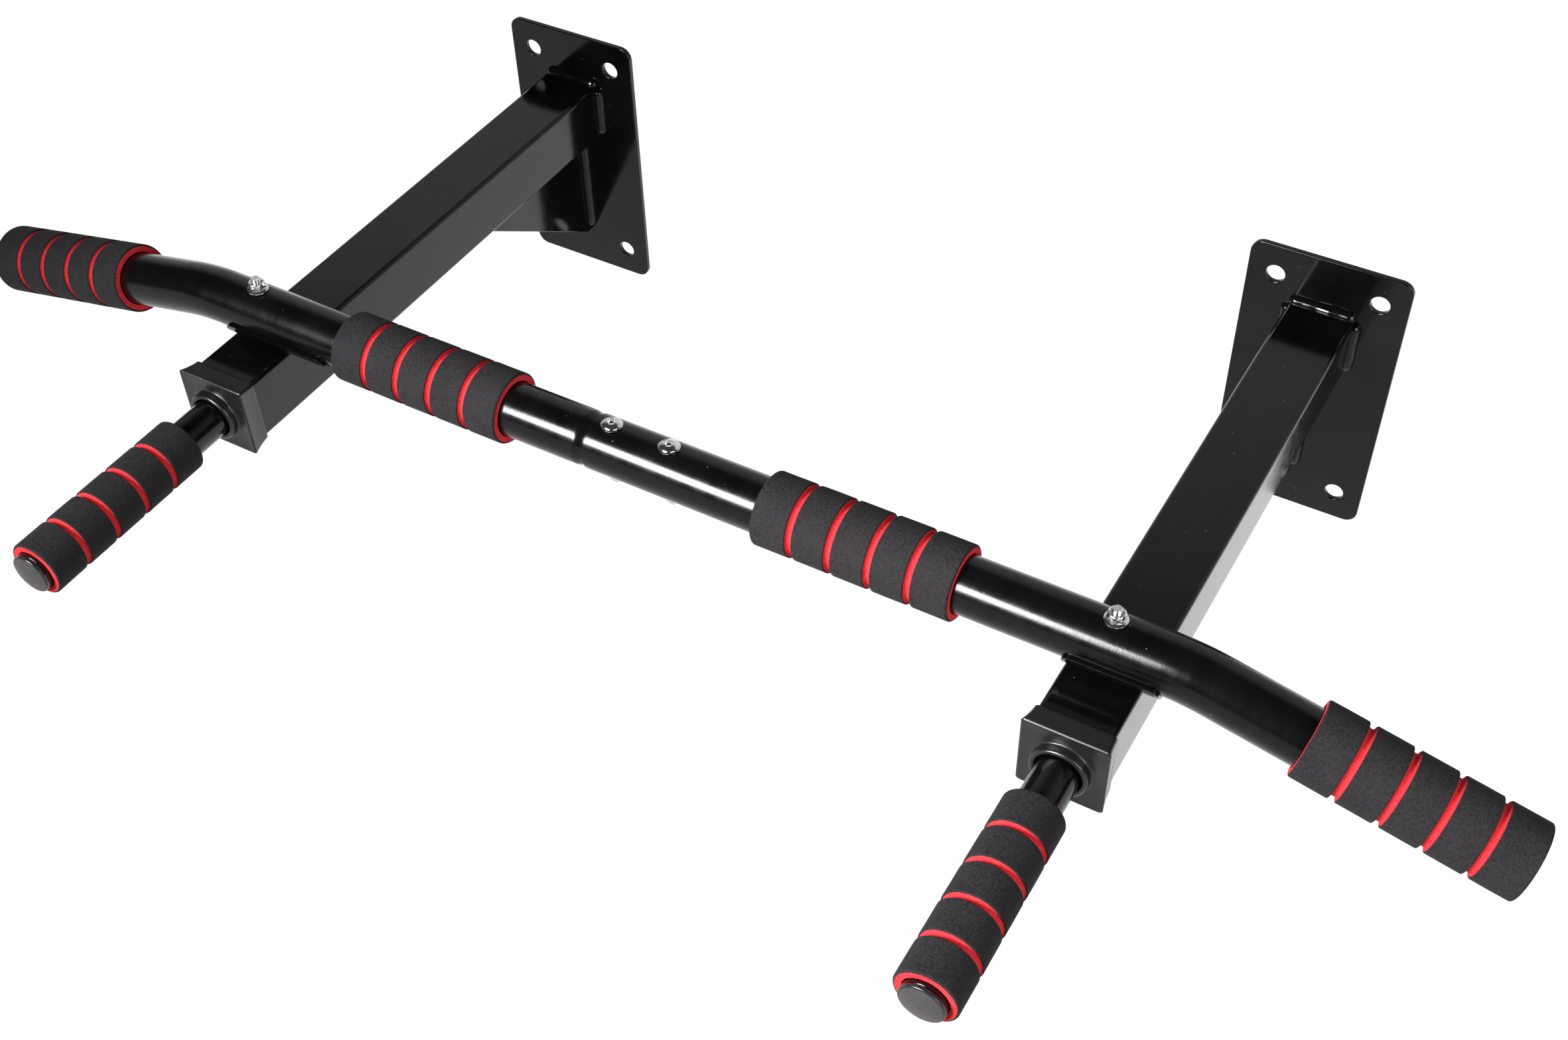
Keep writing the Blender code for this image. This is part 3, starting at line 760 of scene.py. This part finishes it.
handle_coat = powder_coat("black_coat_on_handle", (0.15, 1.0, 0.15), 0.0012, 0.000008, 0.13)
bare_steel = plated("bare_bush_steel", (0.36, 0.36, 0.37, 1), (0.27, 0.26, 0.26, 1), 0.45)


def turned(mesh, profile, origin, axis, around, closed, wander=None):
    """Turns (along, radius, slot) points about an axis. A closed profile has a bore."""
    across = axis.orthogonal().normalized()
    over = axis.cross(across)
    loops = []
    for along, radius, _ in profile:
        loop = []
        for i in range(around):
            turn = 2 * math.pi * i / around
            outward = across * math.cos(turn) + over * math.sin(turn)
            shift = wander(along, turn) if wander else (0.0, 0.0)
            point = origin + axis * (along + shift[0]) + outward * (radius + shift[1])
            loop.append(mesh.verts.new(point))
        loops.append(loop)
    slots = [slot for _, _, slot in profile]
    band_faces(mesh, loops, joined=closed, slots=slots)
    if not closed:
        mesh.faces.new(loops[0]).material_index = slots[0]
        mesh.faces.new(loops[-1]).material_index = slots[-1]


def make_handle_tube(side):
    node = side + "_handle_tube"
    low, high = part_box(node)
    middle = (low + high) / 2
    origin = Vector((middle.x, high.y, middle.z))
    length = high.y - low.y
    outer = (high.x - low.x) / 2
    inner = outer - HANDLE_WALL
    edge = TUBE_END_EDGE
    profile = [(0, outer - edge, 0), (edge, outer, 0), (length / 2, outer, 0)]
    profile += [(length - edge, outer, 0), (length, outer - edge, 0)]
    profile += [(length, inner, 0), (length / 2, inner, 0), (0, inner, 0)]
    mesh = bmesh.new()
    turned(mesh, profile, origin, Vector((0, -1, 0)), HANDLE_AROUND, True)
    add_piece(side + "_handle_pipe", mesh, [handle_coat], [node])


for side in BRACKETS:
    make_handle_tube(side)
    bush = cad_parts[side + "_handle_bush"]
    bush.data.materials.clear()
    bush.data.materials.append(bare_steel)

# ---- arm caps ----
# A moulded black plastic cap closes the front of each arm. Its skirt flares towards the front
# and grips the tube from outside, and a rounded collar on its face fits the handle's tube.

CAP_CORNER = 0.0030
CAP_FLARE = 0.0018
CAP_EDGE = 0.0012
COLLAR_RADIUS = 0.0173
COLLAR_HEIGHT = 0.006
COLLAR_FILLET = 0.0015
COLLAR_ROUND = 0.0018


def make_moulded_skin():
    """The fine satin texture of a mould, with slow changes of gloss where the plastic flowed."""
    group, given, result = new_group(
        "moulded_skin",
        [("Vector", "NodeSocketVector", None), ("Grain Size", "NodeSocketFloat", 0.0003)],
        ("Height", "Flow"))
    vector = given.outputs["Vector"]
    per_metre = maths(group, "DIVIDE", 1.0, given.outputs["Grain Size"])
    grain = put(group, "ShaderNodeTexNoise", Vector=vector, Scale=per_metre, Detail=2.0)
    flow = put(group, "ShaderNodeTexNoise", Vector=vector, Scale=60.0, Detail=2.0)
    group.links.new(grain.outputs["Fac"], result.inputs["Height"])
    group.links.new(ranged(group, flow.outputs["Fac"], 0.35, 0.65, 0, 1), result.inputs["Flow"])
    return group


moulded_skin = make_moulded_skin()


def moulded_plastic(name, dark, light, roughness, grain_size, grain_depth):
    finish, tree, shader, place = new_finish(name)
    skin = use_group(tree, moulded_skin, Vector=place, Grain_Size=grain_size)
    dust = use_group(tree, dust_specks, Vector=place, Spacing=0.006, Speck_Size=0.00022)["Mask"]
    plain = blended(tree, skin["Height"], dark, light)
    colour = blended(tree, dust, plain, (0.30, 0.29, 0.28, 1))
    tree.links.new(colour, shader.inputs["Base Color"])
    rough = ranged(tree, skin["Flow"], 0, 1, roughness * 0.85, roughness * 1.15)
    tree.links.new(rough, shader.inputs["Roughness"])
    add_bump(tree, shader, skin["Height"], grain_depth)
    return finish


cap_plastic = moulded_plastic(
    "satin_black_cap", (0.004, 0.0037, 0.0043, 1), (0.008, 0.0076, 0.0085, 1),
    0.30, 0.0004, 0.000010)


def as_circle(ring, radius):
    """A round ring whose points lie at the same angles as those of a square ring."""
    return [point.normalized() * radius for point in ring]


def make_cap(side):
    node = side + "_arm_cap"
    low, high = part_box(node)
    arm_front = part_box(side + "_arm")[0].y
    middle = (low + high) / 2
    front_half = (high.x - low.x) / 2
    rear_half = front_half - CAP_FLARE
    tube_half = (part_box(side + "_arm")[1].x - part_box(side + "_arm")[0].x) / 2 + CLEARANCE
    collar_tip = low.y
    face = collar_tip + COLLAR_HEIGHT
    back = high.y
    handle_low, handle_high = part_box(side + "_handle_tube")
    bore = (handle_high.x - handle_low.x) / 2 + CLEARANCE
    loops = []
    rear = square_ring(rear_half, CAP_CORNER)
    loops.append((square_ring(rear_half - 0.0004, CAP_CORNER - 0.0004), back))
    for step in range(7):
        share = step / 6
        half = rear_half + (front_half - rear_half) * share ** 1.6
        y = back - 0.0004 + (face + CAP_EDGE - back) * share
        loops.append((square_ring(half, CAP_CORNER - 0.0008 * share), y))
    for step in range(1, 5):
        turn = math.pi / 2 * step / 4
        half = front_half - CAP_EDGE * (1 - math.cos(turn))
        y = face + CAP_EDGE * (1 - math.sin(turn))
        loops.append((square_ring(half, CAP_CORNER - 0.0008), y))
    face_ring = square_ring(front_half - 0.004, 0.0030)
    loops.append((square_ring(front_half - 0.0026, CAP_CORNER - 0.0008), face + 0.00005))
    loops.append((face_ring, face + 0.00025))
    foot = COLLAR_RADIUS + COLLAR_FILLET
    loops.append((as_circle(rear, foot + 0.0010), face + 0.0003))
    for step in range(1, 5):
        turn = math.pi / 2 * step / 4
        radius = foot - COLLAR_FILLET * math.sin(turn)
        y = face + 0.0003 - COLLAR_FILLET * (1 - math.cos(turn))
        loops.append((as_circle(rear, radius), y))
    for step in range(9):
        turn = math.pi * step / 8
        radius = COLLAR_RADIUS - COLLAR_ROUND * (1 - math.cos(turn))
        y = collar_tip + COLLAR_ROUND * (1 - math.sin(turn))
        loops.append((as_circle(rear, max(radius, bore)), y))
    loops.append((as_circle(rear, bore), arm_front - CLEARANCE))
    loops.append((square_ring(tube_half, CAP_CORNER), arm_front - CLEARANCE))
    loops.append((square_ring(tube_half, CAP_CORNER), back))
    mesh = bmesh.new()
    made = []
    for ring, y in loops:
        made.append([mesh.verts.new((middle.x + p.x, y, middle.z + p.y)) for p in ring])
    band_faces(mesh, made, joined=True)
    add_piece(side + "_cap_moulding", mesh, [cap_plastic], [node], sharp=45)


for side in BRACKETS:
    make_cap(side)

# ---- foam grips ----
# The grips are sleeves of soft two-colour foam, dark outside and red inside. Four grooves are
# turned through the dark skin into the red, and the sawn ends show red inside a rolled dark edge.

GROOVES = 4
GROOVE_HALF_TOP = 0.0028
GROOVE_HALF_RED = 0.0020
SHOULDER_DEPTH = 0.0010
GROOVE_DEPTH = 0.0028
ROLLED_EDGE = 0.0014
CUT_FACE = 0.0012
GRIP_PAST_BAR = 0.005
GRIP_CLEARANCE = 0.0006
WANDER_ROOM = 0.0008
FOAM_SHEEN = 0.25
FOAM_AROUND = 112
DARK_SKIN = 0
RED_CORE = 1


def make_foam_cells():
    """The fine cells of closed foam, as a height and as a speckle of light and dark."""
    group, given, result = new_group(
        "foam_cells",
        [("Vector", "NodeSocketVector", None), ("Cell Size", "NodeSocketFloat", 0.0004)],
        ("Height", "Speckle", "Cloud"))
    vector = given.outputs["Vector"]
    per_metre = maths(group, "DIVIDE", 1.0, given.outputs["Cell Size"])
    cells = put(group, "ShaderNodeTexVoronoi", Vector=vector, Scale=per_metre)
    mixed = put(group, "ShaderNodeTexNoise", Vector=vector, Scale=per_metre, Detail=3.0)
    half_scale = maths(group, "MULTIPLY", per_metre, 0.55)
    coarse = put(group, "ShaderNodeTexNoise", Vector=vector, Scale=half_scale, Detail=4.0)
    cloud = put(group, "ShaderNodeTexNoise", Vector=vector, Scale=70.0, Detail=3.0)
    height = maths(group, "ADD", cells.outputs["Distance"], mixed.outputs["Fac"])
    group.links.new(height, result.inputs["Height"])
    speckle = ranged(group, coarse.outputs["Fac"], 0.36, 0.64, 0, 1)
    group.links.new(speckle, result.inputs["Speckle"])
    group.links.new(ranged(group, cloud.outputs["Fac"], 0.3, 0.7, 0, 1), result.inputs["Cloud"])
    return group


foam_cells = make_foam_cells()


def foam(name, dark, light, cell_size, depth):
    finish, tree, shader, place = new_finish(name)
    cells = use_group(tree, foam_cells, Vector=place, Cell_Size=cell_size)
    share = maths(tree, "ADD", maths(tree, "MULTIPLY", cells["Speckle"], 0.8),
                  maths(tree, "MULTIPLY", cells["Cloud"], 0.2))
    tree.links.new(blended(tree, share, dark, light), shader.inputs["Base Color"])
    rough = ranged(tree, cells["Speckle"], 0, 1, 0.82, 0.98)
    tree.links.new(rough, shader.inputs["Roughness"])
    add_bump(tree, shader, cells["Height"], depth)
    shader.inputs["Specular IOR Level"].default_value = FOAM_SHEEN
    return finish


dark_foam = foam(
    "dark_foam_skin", (0.0035, 0.0032, 0.0036, 1), (0.020, 0.0185, 0.020, 1), 0.0007, 0.00016)
red_foam = foam(
    "red_foam_core", (0.46, 0.012, 0.020, 1), (0.74, 0.034, 0.042, 1), 0.0007, 0.00010)


def grip_profile(length, bore, outer):
    """Half the sleeve's section run from one end to the other, then back along its bore."""
    end = length / 2
    profile = [(-end, bore, RED_CORE), (-end, bore + CUT_FACE, RED_CORE)]
    profile.append((-end - 0.0001, outer - ROLLED_EDGE - 0.0006, RED_CORE))
    profile.append((-end, outer - ROLLED_EDGE, DARK_SKIN))
    rolled = []
    for step in range(1, 7):
        turn = math.pi / 2 * step / 6
        rolled.append((end - ROLLED_EDGE * (1 - math.cos(turn)),
                       outer - ROLLED_EDGE * (1 - math.sin(turn))))
    profile += [(-along, radius, DARK_SKIN) for along, radius in rolled]
    pitch = length / (GROOVES + 1)
    for groove in range(1, GROOVES + 1):
        middle = groove * pitch - end
        profile.append((middle - pitch / 2, outer, DARK_SKIN))
        section = []
        for step in range(6):
            turn = math.pi / 2 * step / 5
            reach = GROOVE_HALF_TOP - (GROOVE_HALF_TOP - GROOVE_HALF_RED) * math.sin(turn)
            section.append((reach, outer - SHOULDER_DEPTH * (1 - math.cos(turn))))
        walls = ((0.0018, 0.0018), (0.0014, 0.0024), (0.0008, 0.0027))
        red = [(reach, outer - depth) for reach, depth in walls]
        profile += [(middle - reach, radius, DARK_SKIN) for reach, radius in section[:-1]]
        profile.append((middle - section[-1][0], section[-1][1], RED_CORE))
        profile += [(middle - reach, radius, RED_CORE) for reach, radius in red]
        profile.append((middle, outer - GROOVE_DEPTH, RED_CORE))
        profile += [(middle + reach, radius, RED_CORE) for reach, radius in reversed(red)]
        profile += [(middle + reach, radius, DARK_SKIN) for reach, radius in reversed(section)]
    profile.append((end - pitch / 2, outer, DARK_SKIN))
    profile += [(along, radius, DARK_SKIN) for along, radius in reversed(rolled)]
    profile.append((end, outer - ROLLED_EDGE, RED_CORE))
    profile.append((end + 0.0001, outer - ROLLED_EDGE - 0.0006, RED_CORE))
    profile += [(end, bore + CUT_FACE, RED_CORE), (end, bore, RED_CORE)]
    profile += [(end / 2, bore, RED_CORE), (-end / 2, bore, RED_CORE)]
    return profile


def make_grip(name, node, centre, axis, outer, bore, length):
    seed = centre * 11

    def wander(along, turn):
        where = seed + Vector((math.cos(turn) * 0.7, math.sin(turn) * 0.7, along * 60))
        sideways = noise.noise(where) * 0.00022
        where = where * 2 + Vector((5, 0, 0))
        return sideways, noise.noise(where) * 0.00012 - 0.00008

    mesh = bmesh.new()
    profile = grip_profile(length - WANDER_ROOM, bore, outer)
    turned(mesh, profile, centre, axis, FOAM_AROUND, True, wander)
    piece = add_piece(name, mesh, [dark_foam, red_foam], [node], sharp=70)


for side, hand in (("left", -1), ("right", 1)):
    low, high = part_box(side + "_centre_grip")
    length = high.x - low.x
    outer = (high.z - low.z) / 2
    bore = BAR_RADIUS + GRIP_CLEARANCE
    node = side + "_centre_grip"
    make_grip(side + "_centre_foam", node, (low + high) / 2, Vector((1, 0, 0)), outer, bore, length)

    x, z, slope = bar_frame(BAR_HALF_LENGTH + GRIP_PAST_BAR - length / 2)
    centre = Vector((hand * x, BAR_Y, z))
    outward = Vector((hand * math.cos(slope), 0, -math.sin(slope)))
    node = side + "_outer_grip"
    make_grip(side + "_outer_foam", node, centre, outward, outer, bore, length)

    node = side + "_handle_grip"
    low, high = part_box(node)
    tube_low, tube_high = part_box(side + "_handle_tube")
    bore = (tube_high.x - tube_low.x) / 2 + GRIP_CLEARANCE
    outer = (high.x - low.x) / 2
    forward = Vector((0, -1, 0))
    make_grip(side + "_handle_foam", node, (low + high) / 2, forward, outer, bore, high.y - low.y)

# ---- end plugs ----
# A black plastic plug is pushed into each open tube end. Its rim is smooth and shiny, and its
# low dome has a coarse spark-eroded grain.

PLUG_STEM = 0.014
RIM_PROUD = 0.0002
RIM_DEPTH = 0.0019
RIM_ROUND = 0.0008
RIM_EDGE = 0.0012
DOME_RISE = 0.0019
PLUG_AROUND = 72

plug_rim = moulded_plastic(
    "shiny_plug_rim", (0.010, 0.010, 0.011, 1), (0.016, 0.016, 0.017, 1), 0.18, 0.0005, 0.000004)
plug_grain = moulded_plastic(
    "grained_plug_dome", (0.010, 0.009, 0.010, 1), (0.050, 0.047, 0.050, 1), 0.45, 0.0011, 0.00018)


def make_plug(name, node, tube_end, outward, tube_radius, wall):
    stem = tube_radius - wall - CLEARANCE
    rim = tube_radius + RIM_PROUD
    profile = [(-PLUG_STEM, stem - 0.0008, 0), (-PLUG_STEM + 0.001, stem, 0)]
    profile += [(CLEARANCE, stem, 0)]
    profile += [(CLEARANCE, rim - 0.0002, 0), (0.0005, rim, 0), (RIM_DEPTH, rim, 0)]
    for step in range(1, 5):
        turn = math.pi / 2 * step / 4
        along = RIM_DEPTH + RIM_ROUND * math.sin(turn)
        profile.append((along, rim - RIM_EDGE * (1 - math.cos(turn)), 0))
    face = rim - RIM_EDGE
    profile[-1] = (profile[-1][0], profile[-1][1], 1)
    for step in range(1, 10):
        share = step / 10
        along = RIM_DEPTH + RIM_ROUND + DOME_RISE * (1 - (1 - share) ** 2)
        profile.append((along, face * (1 - share), 1))
    mesh = bmesh.new()
    turned(mesh, profile, tube_end, outward, PLUG_AROUND, False)
    add_piece(name, mesh, [plug_rim, plug_grain], [node], sharp=50)


for side, hand in (("left", -1), ("right", 1)):
    x, z, slope = bar_frame(BAR_HALF_LENGTH)
    outward = Vector((hand * math.cos(slope), 0, -math.sin(slope)))
    node = side + "_end_plug"
    make_plug(side + "_bar_cap", node, Vector((hand * x, BAR_Y, z)), outward, BAR_RADIUS, BAR_WALL)

    low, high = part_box(side + "_handle_tube")
    end = Vector(((low.x + high.x) / 2, low.y, (low.z + high.z) / 2))
    radius = (high.x - low.x) / 2
    node = side + "_handle_plug"
    make_plug(side + "_handle_cap", node, end, Vector((0, -1, 0)), radius, HANDLE_WALL)

# ---- studio ----
# A plain white floor lies well below, in a dim room with a paler rear wall. A soft light in front
# on the left draws the white line along the bar, and a weaker one fills in from the right.

FLOOR_BELOW = 0.75
FLOOR_SEEN = 0.96
FLOOR_BOUNCED = 0.20
FLOOR_MIRRORED_IN_FRONT = 0.62
FLOOR_MIRRORED_BEHIND = 1.15
ROOM_SEEN = 0.97
ROOM_DIM = 0.04
ROOM_REAR_WALL = 0.62
LENS = 44.44
CAMERA_PLACE = (0.5011, -1.0316, 0.8678)
CAMERA_TURNS = (45.144, 1.194, 29.935)


def make_floor():
    mesh = bmesh.new()
    bmesh.ops.create_grid(mesh, x_segments=1, y_segments=1, size=14)
    data = bpy.data.meshes.new("studio_floor")
    mesh.to_mesh(data)
    mesh.free()
    floor = bpy.data.objects.new("studio_floor", data)
    bpy.context.scene.collection.objects.link(floor)
    floor.location = (0, 0, cad_low.z - FLOOR_BELOW)
    paper = bpy.data.materials.new("white_paper")
    paper.use_nodes = True
    tree = paper.node_tree
    shader = tree.nodes["Principled BSDF"]
    shader.inputs["Base Color"].default_value = (0.30, 0.30, 0.30, 1)
    shader.inputs["Roughness"].default_value = 1.0
    shader.inputs["Specular IOR Level"].default_value = 0.0
    shader.inputs["Emission Color"].default_value = (1.0, 0.998, 0.99, 1)
    place = put(tree, "ShaderNodeTexCoord").outputs["Object"]
    behind = put(tree, "ShaderNodeSeparateXYZ", Vector=place).outputs["Y"]
    path = put(tree, "ShaderNodeLightPath").outputs
    mirrored = ranged(
        tree, behind, -1.2, 0.8, FLOOR_MIRRORED_IN_FRONT, FLOOR_MIRRORED_BEHIND)
    bounced = ranged(tree, path["Is Glossy Ray"], 0, 1, FLOOR_BOUNCED, mirrored)
    glow = ranged(tree, path["Is Camera Ray"], 0, 1, bounced, FLOOR_SEEN)
    tree.links.new(glow, shader.inputs["Emission Strength"])
    data.materials.append(paper)


def add_soft_light(name, place, target, width, height, power, spread=180):
    data = bpy.data.lights.new(name, "AREA")
    data.shape = "RECTANGLE"
    data.size = width
    data.size_y = height
    data.energy = power
    data.spread = math.radians(spread)
    light = bpy.data.objects.new(name, data)
    light.location = place
    light.rotation_euler = (Vector(target) - Vector(place)).to_track_quat("-Z", "Y").to_euler()
    bpy.context.scene.collection.objects.link(light)


make_floor()
add_soft_light("front_softbox", (-0.45, -1.65, 0.84), (0.30, -0.30, 0.0), 0.95, 0.56, 13.5, 62)
add_soft_light("right_fill", (1.75, -1.10, 0.75), (0.30, -0.35, 0.05), 1.3, 1.0, 24)

room = bpy.data.worlds.new("dim_room")
room.use_nodes = True
tree = room.node_tree
facing = put(tree, "ShaderNodeTexCoord").outputs["Generated"]
towards = put(tree, "ShaderNodeSeparateXYZ", Vector=facing).outputs
rear_wall = ranged(tree, towards["Y"], 0.25, 0.60, 0, 1)
below_ceiling = ranged(tree, towards["Z"], 0.66, 0.86, 1, 0)
lit = maths(tree, "MULTIPLY", rear_wall, below_ceiling)
backdrop = tree.nodes["Background"]
backdrop.inputs["Color"].default_value = (1.0, 0.99, 1.0, 1)
seen = put(tree, "ShaderNodeLightPath").outputs["Is Camera Ray"]
around = ranged(tree, lit, 0, 1, ROOM_DIM, ROOM_REAR_WALL)
tree.links.new(ranged(tree, seen, 0, 1, around, ROOM_SEEN), backdrop.inputs["Strength"])
bpy.context.scene.world = room
bpy.context.scene.view_settings.view_transform = "Standard"

camera_data = bpy.data.cameras.new("camera")
camera_data.sensor_width = 36.0
camera_data.lens = LENS
camera_data.clip_start = 0.05
camera = bpy.data.objects.new("camera", camera_data)
camera.location = CAMERA_PLACE
camera.rotation_euler = [math.radians(turn) for turn in CAMERA_TURNS]
bpy.context.scene.collection.objects.link(camera)
bpy.context.scene.camera = camera
